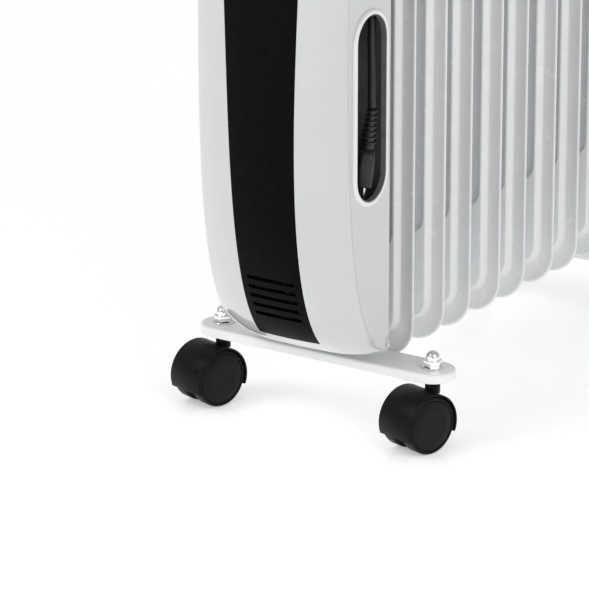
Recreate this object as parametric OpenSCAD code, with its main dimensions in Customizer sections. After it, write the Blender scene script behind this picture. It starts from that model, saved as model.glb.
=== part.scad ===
// Oil filled radiator heater: a stack of hollow steel fins on four twin-wheel casters, with a moulded
// control housing at the front that also holds the mains lead.
// Frame: X across the fins, -Y out of the front of the housing, +Z up, floor at z = 0.

/* [Fins] */
// Distance from one fin to the next
fin_pitch = 42; // [38:1:52]
// Width of a fin
fin_w = 138; // [112:1:168]
// Height of a fin
fin_h = 572; // [470:1:690]
// Corner radius of a fin
fin_r = 28; // [22:1:34]
// Half thickness of the embossed channels
emboss_h = 6; // [4:0.5:8]
// Width of the flat edge beside the channels
flange_w = 11; // [8:1:14]
// Height of the flat edge above and below the channels
flange_end = 15; // [12:1:20]
// Width of the outer channel
channel_w = 9.6; // [8:0.2:12]
// Width of the middle channel
middle_w = 24; // [18:1:30]
// Height of the header that joins the channels
header_h = 77; // [70:1:90]
// Thickness of the pressed sheet
sheet = 0.7; // [0.5:0.1:1.2]
// Thickness of the folded hem around a fin
hem = 1.6; // [1.2:0.2:2.6]
// How far alternate fins sit to the side
stagger_x = 0.95; // [0:0.05:1.5]
// How far alternate fins sit up or down
stagger_z = 1; // [0:0.1:1.5]

/* [Hubs and element] */
// Height of a hub's axis from the end of the fin
hub_inset = 53.5; // [44:0.5:60]
// Outside diameter of a hub collar
hub_d = 38; // [34:1:42]
// Bore of a hub collar
hub_bore = 30; // [24:1:31]
// Diameter of the sheathed heating element
element_d = 8; // [6:0.5:9]

/* [Housing] */
// Width of the housing
house_w = 136; // [120:1:160]
// How much lower the housing is than a fin
house_short = 20; // [0:1:60]
// Gap from the foot plate up to the housing
house_lift = 4; // [3:1:10]
// From the housing's foremost line to the first fin
house_reach = 114; // [108:1:130]
// How far the cover's curve sweeps back at top and bottom
sweep = 93; // [86:1:100]
// How far the cover's edges lie behind its middle
crown = 20; // [14:1:22]
// From the housing's rear edge to the first fin
house_gap = 36; // [34:1:40]
// Radius of the housing's rear corners
house_r = 20; // [12:1:26]
// Wall of the housing
wall = 2.5; // [1.8:0.1:3]
// Half width of the black band at its narrow end
band_half = 28; // [22:1:32]
// Height of the band's narrow end above the housing's lowest line
band_foot = 16; // [12:1:22]
// Number of vent slots
vent_count = 5; // [3:1:7]
// Length of a vent slot
vent_w = 43; // [30:1:46]

/* [Cord compartment] */
// Length of the opening
slot_h = 145; // [130:1:150]
// Width of the opening
slot_w = 39; // [34:1:40]
// Width of the rim around the opening
rim_w = 4.5; // [3:0.5:4.5]
// How far the rim stands out of the wall
rim_rise = 2.5; // [1.5:0.5:3]
// Wall of the compartment
tub_wall = 1.2; // [1:0.1:1.2]
// Depth of the compartment, inside
tub_deep = 44; // [43:1:46]
// Diameter of the mains lead
cord_d = 6.4;

/* [Controls and handle] */
// Diameter of the thermostat knob
knob_d = 44; // [36:1:50]
// Height of the knob
knob_h = 15; // [10:1:20]
// Height of the finger gap under the handle
grip_gap = 30; // [25:1:40]
// Length of the finger gap
grip_span = 92; // [80:1:100]
// Thickness of the grip
grip_t = 13; // [10:1:18]
// Depth of the grip, front to back
grip_deep = 24; // [18:1:28]

/* [Foot plates and casters] */
// Distance between the caster stems of one plate
stem_span = 196; // [176:1:230]
// Depth of a foot plate
plate_deep = 36; // [32:1:37]
// Height of the plate's rim
plate_rim = 7.6; // [6:0.2:10]
// Sheet of the foot plate
plate_t = 1.8; // [1.2:0.1:2.4]
// How far the fins hang below the plate's top
fin_drop = 5; // [2:0.5:7]
// Diameter of a wheel
wheel_d = 46; // [38:1:56]
// Width of one wheel
wheel_w = 11.6; // [10:0.2:16]
// Thickness of the hood's middle web
web = 9.5; // [9:0.5:12]
// Wall of the hood
hood_wall = 1.5; // [1.2:0.1:2]
// From the stem to the axle
trail = 15; // [13:0.5:20]
// Bare neck between the hood and the plate's rim
neck_show = 7.2; // [5:0.2:12]
// Diameter of the caster stem
stem_d = 6; // [5:0.5:7]
// Diameter of the wheel axle
axle_d = 5; // [4:0.5:6]
// Angle that the front casters are turned to
caster_turn = -15.9; // [-40:0.1:40]

/* [Hidden] */
$fn = 64;
fin_total = 9;
running = 0.05;         // radial clearance of a shaft that turns in a bore
free = 0.4;             // gap beside a part that turns
hair = 0.2;             // gap between parts that are fitted together
over = 1;               // how far a cut runs past what it cuts
far = 500;              // longer than any part, for cutting

// Heights, from the floor up
wheel_r = wheel_d / 2;
hood_in = wheel_r + 0.8;
hood_r = hood_in + hood_wall;
plate_top = wheel_r + hood_r + neck_show + plate_rim;
plate_under = plate_top - plate_t;
fin_bottom = plate_top - fin_drop;
hub_low = fin_bottom + hub_inset;
hub_high = fin_bottom + fin_h - hub_inset;
house_h = fin_h - house_short;
house_bottom = plate_top + house_lift;
house_mid = house_bottom + house_h / 2;
house_top = house_bottom + house_h;

// Plate places from the first fin's plane, and the first fin's place from the box's middle
plate_clear = hem / 2 + 0.5;
front_plate_y = -plate_deep / 2 - plate_clear;
rear_plate_y = (fin_total - 1.5) * fin_pitch;
hood_w = web + 2 * (wheel_w + free) + 2 * free;
caster_reach = (trail + hood_r) * cos(caster_turn) + hood_w / 2 * abs(sin(caster_turn));
rear_reach = rear_plate_y + caster_reach;
first_y = -(rear_reach - house_reach) / 2;

// Hub parts in front of the first fin
back_t = 1.6;
back_y = -house_gap;
stub_end = -house_gap - 1;
flange_r = 22;
flange_t = 5;
spigot_deep = 8;
plug_hole_r = 6;
pin_show = 8;
pin_root = stub_end - flange_t - pin_show - 6;
leg_gap = 11;
bracket_t = 5;
bracket_w = 104;
bracket_h = 50;
screw_x = 42;
cap_t = 5;
bolt_d = 5;
bolt_x = (hub_d + bolt_d + 1) / 2;

// Cord compartment, from the first fin's plane
slot_y = -64.5;
slot_z = house_mid - 66;
slot_edge = 2;
tub_y = -62;
fold_r = 3 * cord_d;
cord_gap = 0.4;
tub_in_w = 2 * fold_r + cord_d + 2 * cord_gap;
tub_w = tub_in_w + 2 * tub_wall;
tub_face = house_w / 2 - wall;
tub_back = tub_face - tub_deep;
tub_low = slot_z - slot_h / 2 - 24;
hank_run = 95;
hank_turns = 4;
hank_pitch = 7.2;
hank_low = slot_z + slot_h / 2 + fold_r + 7;
hank_high = hank_low + hank_run;
hank_x = tub_back + 6.3;
hank_end_x = hank_x + hank_turns * hank_pitch;
gland_h = 6;

// Handle
grip_y = -house_gap - wall - grip_deep / 2 - 6;
grip_root = 18;
tub_high = hank_high + fold_r + cord_d / 2 + gland_h;
tub_r = 12;

// Plug, hanging under the hank from its strain relief
plug_x = tub_face - 9.5;
plug_y = tub_y + 8;
plug_low = slot_z - 63;
plug_turn = 33;
plug_lean = 7;
plug_wide = 26;
plug_thick = 12.5;
plug_long = 28;
relief_h = 28;
relief_d = 13;
relief_neck_h = 5;
relief_ribs = 6;
pin_d = 4;
pin_len = 19;
pin_gap = 9.5;

// The lead's free stretches, chosen by hand, from the first fin's plane
LEAD_IN = [
    [hank_x, tub_y + fold_r, tub_high - tub_wall],
    [hank_x, tub_y + fold_r, hank_high + 13],
    [hank_x, tub_y + fold_r, hank_high]
];
lead_top = plug_long + relief_neck_h + relief_h;
LEAD_OUT = [
    [hank_end_x, tub_y + fold_r, hank_low],
    for (p = [
        [-8.8, 18.8, 88], [-8.4, 17.6, 77], [-7.7, 15.6, 65], [-6.5, 13.4, 52], [-5.1, 11.4, 39],
        [-3.7, 9.7, 27], [-2.9, 8.6, 15], [-2.9, 8, 5]
    ]) [tub_face + p[0], tub_y + p[1], slot_z + p[2]],
    [plug_x + lead_top * sin(plug_lean), plug_y, plug_low + lead_top * cos(plug_lean)]
];

// Controls: the panel is a flat tray sunk into the cover's curve
panel_z = house_top - 98;
panel_tilt = 12;
panel_sink = 9.4;
panel_t = 2;
panel_rim = 2;
panel_deep = 9;
panel_w = 62;
panel_h = 128;
panel_y = cover_y(panel_z) + panel_sink;
knob_up = 26;
knob_gap = 1;
shaft_d = 6;
rocker_w = 15;
rocker_h = 24;
rocker_x = 11;
rocker_up = -26;
rocker_pivot = 5;
rocker_rest = 7;
rocker_dish = 30;
lamp_up = -50;
lamp_d = 7;

// Parts inside the housing
block_x = -34;
block_w = 22;
block_deep = 12;
block_h = 52;
wire_d = 2.8;

// Acorn nuts, from the plate up
wing_d = 11;
wing_t = 5;
bolt_under = wing_t + 0.4;
washer_d = 17;
washer_t = 1.4;
nut_d = 15;
nut_t = 5.4;
dome_d = 11;
dome_up = 1.6;
nut_bore = 9;
stem_up = 8;

// ---------- helpers ----------

// A rectangle with round corners, from squares and circles
module round_rect(w, h, r) {
    square([w - 2 * r, h], center = true);
    square([w, h - 2 * r], center = true);
    for (x = [-1, 1], z = [-1, 1])
        translate([x * (w / 2 - r), z * (h / 2 - r)]) circle(r);
}

// A slot with round ends, upright
module pill(w, h) {
    square([w, h - w], center = true);
    for (z = [-1, 1]) translate([0, z * (h - w) / 2]) circle(d = w);
}

// Draws a flat outline in X and Z, and gives it a thickness along Y around y = 0
module upright(t) {
    rotate([90, 0, 0]) linear_extrude(t, center = true) children();
}

// Draws a flat outline in Y and Z, and gives it a thickness along +X from x = 0
module sideways(t) {
    rotate([90, 0, 90]) linear_extrude(t) children();
}

// A shaft along Y between two places
module shaft_y(r, y0, y1) {
    translate([0, y1, 0]) rotate([90, 0, 0]) cylinder(r = r, h = y1 - y0);
}

module from_first_fin() {
    translate([0, first_y, 0]) children();
}

// ---------- fins ----------

module emboss_outline(inset) {
    window_w = (fin_w - 2 * flange_w - 2 * channel_w - middle_w) / 2;
    window_h = fin_h - 2 * (flange_end + header_h);
    difference() {
        round_rect(fin_w - 2 * flange_w - 2 * inset, fin_h - 2 * flange_end - 2 * inset, fin_r - 9);
        for (s = [-1, 1])
            translate([s * (middle_w + window_w) / 2, 0])
                round_rect(window_w + 2 * inset, window_h + 2 * inset, 10);
    }
}

// Two pressed sheets, hemmed together, hollow where the channels and headers are
module fin(n) {
    side = n % 2 == 0 ? 1 : -1;
    shift = [side * stagger_x, 0, side * stagger_z];
    color("whitesmoke")
    translate([0, first_y + (n - 1) * fin_pitch, fin_bottom + fin_h / 2])
        difference() {
            translate(shift) union() {
                upright(hem) round_rect(fin_w, fin_h, fin_r);
                upright(2 * emboss_h) emboss_outline(0);
            }
            translate(shift) upright(2 * (emboss_h - sheet)) emboss_outline(sheet);
            for (z = [hub_low, hub_high])
                translate([0, 0, z - fin_bottom - fin_h / 2])
                    shaft_y(hub_bore / 2, -emboss_h - over, emboss_h + over);
        }
}

// ---------- hubs and element ----------

module collar(y0, y1) {
    difference() {
        shaft_y(hub_d / 2, y0, y1);
        shaft_y(hub_bore / 2, y0 - over, y1 + over);
    }
}

module hub_collars() {
    color("whitesmoke") from_first_fin()
        for (z = [hub_low, hub_high]) translate([0, 0, z]) {
            for (n = [0 : fin_total - 2])
                translate([0, n * fin_pitch, 0]) collar(emboss_h, fin_pitch - emboss_h);
            collar(stub_end, -emboss_h);
        }
}

module hub_end_caps() {
    rear = (fin_total - 1) * fin_pitch + emboss_h;
    color("silver") from_first_fin() {
        for (z = [hub_low, hub_high]) translate([0, 0, z]) {
            shaft_y(hub_d / 2, rear, rear + cap_t);
            shaft_y(hub_bore / 2 - hair, rear - spigot_deep / 2, rear);
        }
        translate([0, 0, hub_high]) {
            shaft_y(hub_bore / 2 - hair, stub_end, stub_end + spigot_deep);
            difference() {
                shaft_y(flange_r, stub_end - flange_t, stub_end);
                shaft_y(plug_hole_r, stub_end - flange_t - over, stub_end - 2);
            }
        }
    }
}

module filler_plug() {
    color("gray") from_first_fin() translate([0, 0, hub_high]) {
        shaft_y(plug_hole_r - running, stub_end - flange_t, stub_end - 2);
        shaft_y(plug_hole_r + 3, stub_end - flange_t - 4, stub_end - flange_t);
    }
}

// A hairpin of sheathed element that lies in the lower hubs
module heating_element() {
    tip = (fin_total - 1.5) * fin_pitch;
    color("dimgray") from_first_fin() translate([0, 0, hub_low]) {
        for (s = [-1, 1]) translate([s * leg_gap / 2, 0, 0]) {
            shaft_y(element_d / 2, pin_root + pin_show, tip);
            shaft_y(element_d / 5, pin_root, pin_root + pin_show);
        }
        translate([0, tip, 0])
            rotate_extrude(angle = 180) translate([leg_gap / 2, 0]) circle(d = element_d);
    }
}

module element_flange() {
    color("goldenrod") from_first_fin() translate([0, 0, hub_low]) difference() {
        union() {
            rotate([90, 0, 0]) translate([0, 0, -stub_end]) cylinder(r = flange_r, h = flange_t, $fn = 6);
            shaft_y(hub_bore / 2 - hair, stub_end, stub_end + spigot_deep);
        }
        for (s = [-1, 1]) translate([s * leg_gap / 2, 0, 0])
            shaft_y(element_d / 2, stub_end - flange_t - over, stub_end + spigot_deep + over);
    }
}

// ---------- housing ----------

// The curve of the cover seen from the side: its back and up shares at one angle
function back_share(a) = 1 - pow(cos(a), 2 / 3);
function up_share(a) = sign(a) * pow(sin(abs(a)), 2 / 3);

// The cover's middle line at a height, from the first fin's plane
function cover_y(z) = -house_reach + sweep * (1 - pow(1 - pow(abs(z - house_mid) / (house_h / 2), 3), 1 / 3));

// The housing's closed volume, its surface moved inwards by inset
module house_volume(inset) {
    across = 12;
    along = 26;
    half = house_w / 2 - inset;
    xs = [for (k = [-across / 2 : across / 2]) half * sin(90 * k / (across / 2))];
    angles = [for (j = [0 : along]) -90 + 180 * j / along];
    points = [for (x = xs, a = angles) [
        x,
        -house_reach + inset + (sweep - inset) * back_share(a)
            + crown * (1 - back_share(a)) * pow(abs(x) / half, 2.3),
        house_mid + (house_h / 2 - inset) * up_share(a)
    ]];
    row = along + 1;
    front = [for (k = [0 : across - 1], j = [0 : along - 1]) each [
        [k * row + j, k * row + j + 1, (k + 1) * row + j + 1],
        [k * row + j, (k + 1) * row + j + 1, (k + 1) * row + j]
    ]];
    back = [for (k = [0 : across - 1]) each [
        [k * row, (k + 1) * row, (k + 1) * row + along],
        [k * row, (k + 1) * row + along, k * row + along]
    ]];
    right = [[for (j = [0 : along]) across * row + j]];
    left = [[for (j = [along : -1 : 0]) j]];
    intersection() {
        from_first_fin() polyhedron(points, concat(front, back, right, left));
        from_first_fin() translate([-far / 2, 0, 0]) sideways(far)
            translate([back_y - far / 2, house_mid])
                round_rect(far, house_h + 0.02 - 2 * inset, house_r - inset);
    }
}

module house_shell() {
    difference() {
        house_volume(0);
        house_volume(wall);
        from_first_fin() translate([-house_w / 2 + wall, back_y - wall, house_bottom + house_r])
            cube([house_w - 2 * wall, wall + over, house_h - 2 * house_r]);
    }
}

// All that lies in front of the seam between the cover and the side shell
module seam_front(shift) {
    steps = 26;
    from_first_fin() translate([-far / 2, 0, 0]) sideways(far)
        polygon(concat(
            [for (j = [0 : steps]) let (a = -90 + 180 * j / steps) [
                shift - house_reach + crown + (sweep - crown) * back_share(a),
                house_mid + (house_h / 2 + 0.5) * up_share(a)
            ]],
            [[-far, house_mid + far], [-far, house_mid - far]]
        ));
}

function band_half_at(z) = band_half + 0.000078 * pow(z - house_bottom - 33, 2);

module band_outline(grow) {
    low = house_bottom + band_foot;
    steps = 12;
    zs = [for (j = [0 : steps]) low - grow + (house_top + 5 - low) * j / steps];
    from_first_fin() translate([0, -house_gap - 20, 0]) rotate([90, 0, 0]) linear_extrude(far)
        polygon(concat(
            [for (z = zs) [band_half_at(z) + grow, z]],
            [for (j = [steps : -1 : 0]) [-band_half_at(zs[j]) - grow, zs[j]]]
        ));
}

// A block that leaves room for the control panel in the cover and the band
module panel_room(grow) {
    at_panel() upright(80) round_rect(panel_w + 2 * grow, panel_h + 2 * grow, 14 + grow);
}

module front_cover() {
    color("white") difference() {
        intersection() {
            house_shell();
            seam_front(0);
        }
        band_outline(0);
    }
}

module centre_band() {
    color("black") difference() {
        intersection() {
            house_shell();
            band_outline(-hair);
            seam_front(0);
        }
        panel_room(hair);
        from_first_fin() for (n = [0 : vent_count - 1])
            translate([0, -house_reach, house_bottom + band_foot + 22 + 8 * n])
                upright(far) square([vent_w, 3.4], center = true);
    }
}

module side_shell() {
    color("white") difference() {
        house_shell();
        seam_front(0.3);
        from_first_fin() translate([house_w / 2 - wall - over, slot_y, slot_z])
            sideways(wall + 2 * over) pill(slot_w + 2 * slot_edge, slot_h + 2 * slot_edge);
    }
}

module slot_rim() {
    color("white") from_first_fin() translate([house_w / 2, slot_y, slot_z]) difference() {
        union() {
            sideways(rim_rise) pill(slot_w + 2 * rim_w, slot_h + 2 * rim_w);
            translate([-wall, 0, 0]) sideways(wall)
                pill(slot_w + 2 * slot_edge - 2 * hair, slot_h + 2 * slot_edge - 2 * hair);
        }
        translate([-wall - over, 0, 0]) sideways(far) pill(slot_w, slot_h);
    }
}

module cord_tub() {
    tall = tub_high - tub_low;
    color("dimgray") from_first_fin() translate([tub_back - tub_wall, tub_y, (tub_high + tub_low) / 2])
        difference() {
            sideways(tub_deep + tub_wall) round_rect(tub_w, tall, tub_r);
            translate([tub_wall, 0, 0]) sideways(far)
                round_rect(tub_in_w, tall - 2 * tub_wall, tub_r - tub_wall);
            translate([hank_x - tub_back + tub_wall, fold_r, tall / 2 - tub_wall - over])
                cylinder(d = cord_d + 2, h = tub_wall + 2 * over);
        }
}

module housing_back() {
    color("silver") difference() {
        intersection() {
            house_volume(wall + hair);
            from_first_fin() translate([-house_w / 2, back_y - back_t, house_bottom - over])
                cube([house_w, back_t, house_h + 2 * over]);
        }
        from_first_fin() for (z = [hub_low, hub_high])
            translate([0, 0, z]) shaft_y(flange_r + 2, back_y - far / 2, back_y + over);
    }
}

module housing_brackets() {
    color("silver") from_first_fin() for (z = [hub_low, hub_high])
        difference() {
            translate([0, back_y + bracket_t / 2, z]) upright(bracket_t)
                round_rect(bracket_w, bracket_h, 6);
            translate([0, 0, z]) {
                shaft_y(hub_d / 2 + hair, back_y - over, back_y + bracket_t + over);
                for (s = [-1, 1]) translate([s * screw_x, 0, 0])
                    shaft_y(2.1, back_y - over, back_y + bracket_t + over);
            }
        }
}

module housing_screws() {
    color("silver") from_first_fin() for (z = [hub_low, hub_high], s = [-1, 1])
        translate([s * screw_x, 0, z]) {
            shaft_y(2, back_y, back_y + bracket_t);
            shaft_y(4, back_y + bracket_t, back_y + bracket_t + 2.5);
        }
}

// ---------- controls ----------

// Moves to the middle of the panel's face, leaning back with the cover
module at_panel() {
    from_first_fin() translate([0, panel_y, panel_z]) rotate([-panel_tilt, 0, 0]) children();
}

module control_panel() {
    color("black") difference() {
        intersection() {
            house_volume(hair);
            at_panel() translate([0, panel_deep - 20, 0]) upright(40) round_rect(panel_w, panel_h, 14);
        }
        for (y = [-20, panel_t + 20])
            at_panel() translate([0, y, 0]) upright(40)
                round_rect(panel_w - 2 * panel_rim, panel_h - 2 * panel_rim, 14 - panel_rim);
        at_panel() {
            translate([0, 0, knob_up]) shaft_y(shaft_d / 2 + 1, -far, far);
            for (s = [-1, 1]) translate([s * rocker_x, 0, rocker_up])
                upright(far) square([rocker_w + 2 * free, rocker_h + 2 * free], center = true);
            translate([0, 0, lamp_up]) shaft_y(lamp_d / 2, -far, far);
        }
    }
}

module thermostat_body() {
    color("tan") at_panel() translate([0, 0, knob_up]) difference() {
        translate([0, panel_t + 11, 0]) upright(22) round_rect(34, 34, 3);
        shaft_y(shaft_d / 2 + running, -far, panel_t + 14);
    }
}

module thermostat_knob() {
    color("dimgray") at_panel() translate([0, 0, knob_up]) {
        difference() {
            shaft_y(knob_d / 2, -knob_gap - knob_h, -knob_gap);
            for (s = [-1, 1]) translate([s * (knob_d / 2 + 4), 0, 0])
                shaft_y(15, -knob_gap - knob_h - over, -knob_gap - 5);
        }
        shaft_y(shaft_d / 2, -knob_gap, panel_t + 12);
    }
}

// A dished key that rests tipped to its off side
module rocker() {
    translate([0, rocker_pivot, 0]) rotate([-rocker_rest, 0, 0]) difference() {
        rotate([0, 90, 0]) cylinder(r = rocker_h / 2, h = rocker_w, center = true);
        translate([0, -rocker_dish - rocker_pivot - 1.5, 0]) rotate([0, 90, 0])
            cylinder(r = rocker_dish, h = rocker_w + 2 * over, center = true);
        translate([-far / 2, 4, -far / 2]) cube(far);
    }
}

module rocker_left() {
    color("firebrick") at_panel() translate([-rocker_x, 0, rocker_up]) rocker();
}

module rocker_right() {
    color("firebrick") at_panel() translate([rocker_x, 0, rocker_up]) rocker();
}

module pilot_lamp() {
    color("orange") at_panel() translate([0, 0, lamp_up]) {
        shaft_y(lamp_d / 2 - running, -0.6, panel_deep);
        translate([0, -0.4, 0]) sphere(d = lamp_d - 2);
    }
}

// ---------- inside the housing ----------

module thermal_cutout() {
    color("peru") from_first_fin() translate([0, back_y - back_t, hub_high - 40]) {
        shaft_y(8, -7, 0);
        shaft_y(5, -10, -7);
    }
}

module terminal_block() {
    color("ivory") from_first_fin() translate([block_x, back_y - back_t, house_mid]) difference() {
        translate([-block_w / 2, -block_deep, -block_h / 2]) cube([block_w, block_deep, block_h]);
        for (n = [-2 : 2]) translate([0, 0, 10 * n]) shaft_y(2.2, -block_deep - over, -block_deep / 2);
    }
}

module tilt_switch() {
    color("ivory") from_first_fin() translate([-50, back_y - back_t, hub_low + 44])
        translate([-12, -16, -14]) cube([24, 16, 28]);
}

// Sleeved wires from the element up to the terminal block, and on to the cut-out and the thermostat
module wiring() {
    y = back_y - back_t - block_deep / 2;
    tip = pin_root - 3 * hair;
    color("saddlebrown") from_first_fin() for (s = [-1, 1]) {
        x = block_x + 3 * s;
        tube([
            [s * leg_gap / 2, tip, hub_low], [s * leg_gap / 2, tip - 5, hub_low + 2],
            [s * leg_gap / 2 - 4, tip - 7, hub_low + 10], [x + 8, y - 6, hub_low + 50],
            [x, y, hub_low + 80], [x, y, house_mid - block_h / 2 - hair]
        ], wire_d, 8);
        tube([
            [x, y, house_mid + block_h / 2 + hair], [x, y, house_mid + 70],
            [x / 2, y - 6 + 3 * s, hub_high - 90], [s * 4 - 16, y - 6 + 3 * s, hub_high - 40]
        ], wire_d, 8);
    }
}

// ---------- handle ----------

module handle_outline() {
    wide = grip_span + 2 * grip_t;
    tall = grip_gap + grip_t + grip_root;
    difference() {
        translate([0, house_top + grip_gap + grip_t - tall / 2]) union() {
            round_rect(wide, tall, 18);
            translate([0, -tall / 4]) square([wide, tall / 2], center = true);
        }
        translate([0, house_top + grip_gap - far / 2]) round_rect(grip_span, far, 11);
    }
}

// An arch whose two feet sit on the housing's curved top
module carry_handle() {
    color("black") difference() {
        from_first_fin() translate([0, grip_y, 0]) upright(grip_deep) handle_outline();
        house_volume(0);
    }
}

// Screws that come up from inside the housing, their heads under its top wall
module handle_screws() {
    color("silver") from_first_fin() for (s = [-1, 1])
        translate([s * (grip_span + grip_t) / 2, grip_y, house_top - grip_root - 3]) cylinder(d = 8, h = 2.5);
}

// ---------- feet ----------

module stadium(length, r) {
    square([length, 2 * r], center = true);
    for (s = [-1, 1]) translate([s * length / 2, 0]) circle(r);
}

module foot_plate(y) {
    color("white") from_first_fin() translate([0, y, 0]) difference() {
        translate([0, 0, plate_top - plate_rim]) linear_extrude(plate_rim)
            stadium(stem_span, plate_deep / 2);
        translate([0, 0, plate_top - plate_rim - over]) linear_extrude(plate_rim - plate_t + over)
            stadium(stem_span, plate_deep / 2 - plate_t);
        for (s = [-1, 1]) translate([s * stem_span / 2, 0, 0]) cylinder(d = stem_d + 0.4, h = far);
        for (s = [-1, 1]) translate([s * bolt_x, 0, 0]) cylinder(d = bolt_d + 0.6, h = far);
    }
}

module u_bolts() {
    color("silver") from_first_fin() for (y = [front_plate_y, rear_plate_y]) translate([0, y, 0]) {
        for (s = [-1, 1]) translate([s * bolt_x, 0, plate_under - bolt_under])
            cylinder(d = bolt_d, h = hub_low - plate_under + bolt_under);
        translate([0, 0, hub_low]) rotate([90, 0, 0])
            rotate_extrude(angle = 180) translate([bolt_x, 0]) circle(d = bolt_d);
    }
}

module wing_nuts() {
    color("silver") from_first_fin() for (y = [front_plate_y, rear_plate_y], s = [-1, 1])
        translate([s * bolt_x, y, plate_under - wing_t]) difference() {
            union() {
                cylinder(d = wing_d, h = wing_t);
                upright(2) for (w = [-1, 1]) translate([w * (wing_d - 4), wing_t / 2]) circle(wing_t / 2);
            }
            translate([0, 0, -far / 2]) cylinder(d = bolt_d, h = far);
        }
}

module acorn_nuts() {
    color("silver") from_first_fin() for (y = [front_plate_y, rear_plate_y], s = [-1, 1])
        translate([s * stem_span / 2, y, plate_top]) difference() {
            union() {
                cylinder(d = washer_d, h = washer_t);
                translate([0, 0, washer_t]) cylinder(d = nut_d, h = nut_t, $fn = 6);
                translate([0, 0, washer_t + nut_t]) cylinder(d = dome_d, h = dome_up);
                translate([0, 0, washer_t + nut_t + dome_up]) sphere(d = dome_d);
            }
            translate([0, 0, -over]) cylinder(d = stem_d, h = nut_bore + over);
        }
}

// ---------- casters ----------

// Moves to a stem at floor level and turns, so that the wheels trail along local -Y
module at_caster(side, rear) {
    from_first_fin() translate([side * stem_span / 2, rear ? rear_plate_y : front_plate_y, 0])
        rotate(rear ? caster_turn + 180 : caster_turn) children();
}

module axle_place() {
    translate([0, -trail, wheel_r]) rotate([0, 90, 0]) children();
}

module caster_stems() {
    socket = wheel_r + 4;
    color("silver") for (side = [-1, 1], rear = [false, true]) at_caster(side, rear) {
        translate([0, 0, socket]) cylinder(d = stem_d, h = plate_top + stem_up - socket);
        translate([0, 0, plate_under - 3]) cylinder(d = dome_d, h = 3);
    }
}

module hood(side, rear) {
    cut_z = wheel_r - 9;
    color("black") at_caster(side, rear) difference() {
        union() {
            difference() {
                axle_place() cylinder(r = hood_r, h = hood_w, center = true);
                for (s = [-1, 1]) axle_place() translate([0, 0, s * (hood_w + web) / 2])
                    cylinder(r = hood_in, h = hood_w, center = true);
                translate([-far / 2, -far / 2, cut_z - far]) cube([far, far, far]);
            }
            translate([0, 0, wheel_r + 20]) cylinder(d = 12, h = plate_under - 3.6 - wheel_r - 20);
            axle_place() cylinder(r = 9, h = web, center = true);
        }
        translate([0, 0, wheel_r + 3]) cylinder(d = stem_d + 2 * running, h = far);
        axle_place() cylinder(d = axle_d + 2 * running, h = far, center = true);
    }
}

module wheels(side, rear) {
    color("black") at_caster(side, rear) for (s = [-1, 1])
        axle_place() translate([0, 0, s * (web / 2 + free + wheel_w / 2)]) difference() {
            cylinder(r = wheel_r, h = wheel_w, center = true);
            translate([0, 0, s * (wheel_w / 2 - 1)]) difference() {
                cylinder(r = wheel_r - 4, h = 2 * over, center = true);
                cylinder(r = 5, h = 3 * over, center = true);
            }
            cylinder(d = axle_d, h = far, center = true);
        }
}

module axle(side, rear) {
    color("silver") at_caster(side, rear)
        axle_place() cylinder(d = axle_d, h = hood_w - 4, center = true);
}

// ---------- mains lead ----------

function unit(v) = v / norm(v);

// A tube of one closed solid, swept along its points; none of them heads along +X
module tube(points, d, sides) {
    last = len(points) - 1;
    dirs = [for (i = [0 : last]) unit(points[min(i + 1, last)] - points[max(i - 1, 0)])];
    rings = [for (i = [0 : last])
        let (u = unit(cross(dirs[i], [1, 0, 0])), v = cross(dirs[i], u))
        for (k = [0 : sides - 1])
            let (a = 360 * k / sides) points[i] + d / 2 * (u * cos(a) + v * sin(a))
    ];
    walls = [for (i = [0 : last - 1], k = [0 : sides - 1])
        let (n = (k + 1) % sides) each [
            [i * sides + k, (i + 1) * sides + k, (i + 1) * sides + n],
            [i * sides + k, (i + 1) * sides + n, i * sides + n]
        ]
    ];
    start = [[for (k = [0 : sides - 1]) k]];
    end = [[for (k = [sides - 1 : -1 : 0]) last * sides + k]];
    polyhedron(rings, concat(walls, start, end));
}

module cord_gland() {
    color("black") from_first_fin()
        translate([hank_x, tub_y + fold_r, tub_high - tub_wall]) difference() {
            union() {
                translate([0, 0, tub_wall]) cylinder(d = cord_d + 3.4, h = 2);
                cylinder(d = cord_d + 2 - 2 * hair, h = tub_wall);
            }
            translate([0, 0, -over]) cylinder(d = cord_d, h = 2 + tub_wall + 2 * over);
        }
}

module cord_run() {
    color("black") from_first_fin() {
        tube(LEAD_IN, cord_d, 10);
        tube(LEAD_OUT, cord_d, 10);
    }
}

module cord_hank() {
    color("black") from_first_fin()
        translate([hank_x - cord_d / 2, tub_y, (hank_low + hank_high) / 2])
            sideways(hank_turns * hank_pitch + cord_d)
                pill(2 * fold_r + cord_d, hank_run + 2 * fold_r + cord_d);
}

// A strap around the hank's waist
module cord_tie() {
    band = 10;
    color("dimgray") from_first_fin() translate([hank_x - cord_d / 2, tub_y, (hank_low + hank_high) / 2])
        difference() {
            translate([-0.8, 0, 0]) sideways(hank_turns * hank_pitch + cord_d + 1.6)
                square([tub_in_w, band], center = true);
            sideways(hank_turns * hank_pitch + cord_d)
                square([2 * fold_r + cord_d, band + 2 * over], center = true);
        }
}

// Moves to the plug's lower end, which leans and is turned
module at_plug() {
    from_first_fin() translate([plug_x, plug_y, plug_low]) rotate([0, plug_lean, 0])
        rotate(plug_turn) children();
}

module strain_relief() {
    step = relief_h / relief_ribs;
    color("black") at_plug() translate([0, 0, plug_long]) {
        cylinder(d = relief_d - 4, h = relief_neck_h + relief_h);
        for (n = [0 : relief_ribs - 1]) translate([0, 0, relief_neck_h + n * step])
            cylinder(d = relief_d - 0.6 * n, h = step * 0.55);
    }
}

module plug_body() {
    color("black") at_plug() linear_extrude(plug_long) rotate(90) round_rect(plug_wide, plug_thick, 3);
}

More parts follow.
